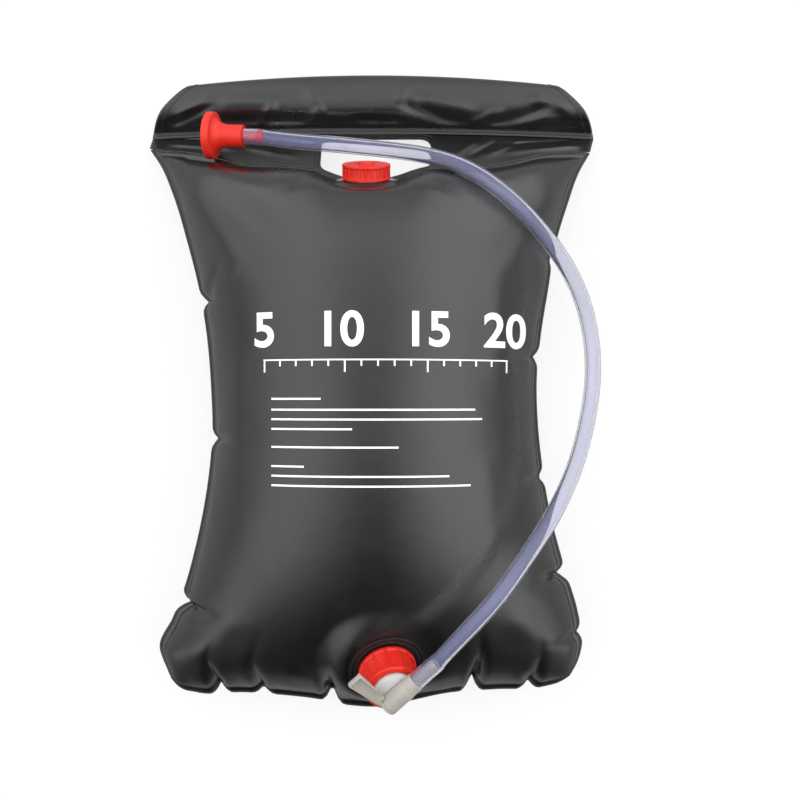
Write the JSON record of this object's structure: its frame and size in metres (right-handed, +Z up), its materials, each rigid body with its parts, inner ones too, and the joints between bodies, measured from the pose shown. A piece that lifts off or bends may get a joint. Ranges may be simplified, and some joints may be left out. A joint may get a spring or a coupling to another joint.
{
  "type": "camp_shower_bag",
  "caption": "Black film shower bag, blown full and lying on its back, with a carrying handle, a red screw cap, a tap and a clear hose to a red shower head",
  "frame": {"origin": "The middle of the flat patch of back film that the full bag rests on", "axes": "Z up through the thickness of the lying bag, Y from the outlet end to the carrying handle, X to the right across the front"},
  "size_m": [0.4109, 0.5811, 0.1729],
  "materials": {
    "black_film": "semi-gloss black vinyl film",
    "grey_plastic": "plain extruded plastic tube",
    "milky_plastic": "milky translucent moulding",
    "seal_rubber": "soft matt rubber",
    "red_plastic": "glossy red moulding",
    "black_plastic": "glossy black moulding",
    "cream_plastic": "cream satin moulding",
    "clear_hose": "clear soft vinyl with a faint blue tint"
  },
  "bodies": {
    "bag": {"front_panel": "black_film", "back_panel": "black_film", "handle_web": "black_film", "handle_sleeve": "black_film", "handle_tube": "grey_plastic", "filler_neck": "milky_plastic", "outlet_neck": "black_plastic", "outlet_gasket": "seal_rubber", "tap_adapter": "milky_plastic", "tap_body": "cream_plastic", "hose": "clear_hose", "head_stem": "red_plastic", "head_o_ring": "seal_rubber"},
    "cap_seal": {"filler_gasket": "seal_rubber"},
    "cap": {"filler_cap": "red_plastic"},
    "nut": {"outlet_nut": "red_plastic"},
    "key": {"tap_key": "cream_plastic", "plug_o_ring": "seal_rubber"},
    "head": {"head_trumpet": "red_plastic", "rose_plate": "red_plastic"}
  },
  "joints": [
    {"name": "cap_lift", "type": "slide", "parent": "bag", "child": "cap_seal", "axis": [0, 0.9455, 0.3256], "range_m": [0, 0.009]},
    {"name": "cap_turn", "type": "hinge", "parent": "cap_seal", "child": "cap", "pos_m": [-0.004, 0.216, 0.098], "axis": [0, 0.9455, 0.3256], "range_deg": [0, 1080]},
    {"name": "nut_turn", "type": "hinge", "parent": "bag", "child": "nut", "pos_m": [0.0135, -0.201, 0.116], "axis": [0.2299, -0.4938, 0.8386], "range_deg": [0, 300]},
    {"name": "valve_turn", "type": "hinge", "parent": "bag", "child": "key", "pos_m": [0.02235, -0.22001, 0.14829], "axis": [0.708, 0.6761, 0.204], "range_deg": [0, 90]},
    {"name": "head_pull", "type": "slide", "parent": "bag", "child": "head", "axis": [-0.9794, 0.066, -0.1911], "range_m": [0, 0.006]}
  ],
  "couplings": [
    {"joint": "cap_lift", "follows": "cap_turn", "m_per_rad": 0.00047746}
  ]
}
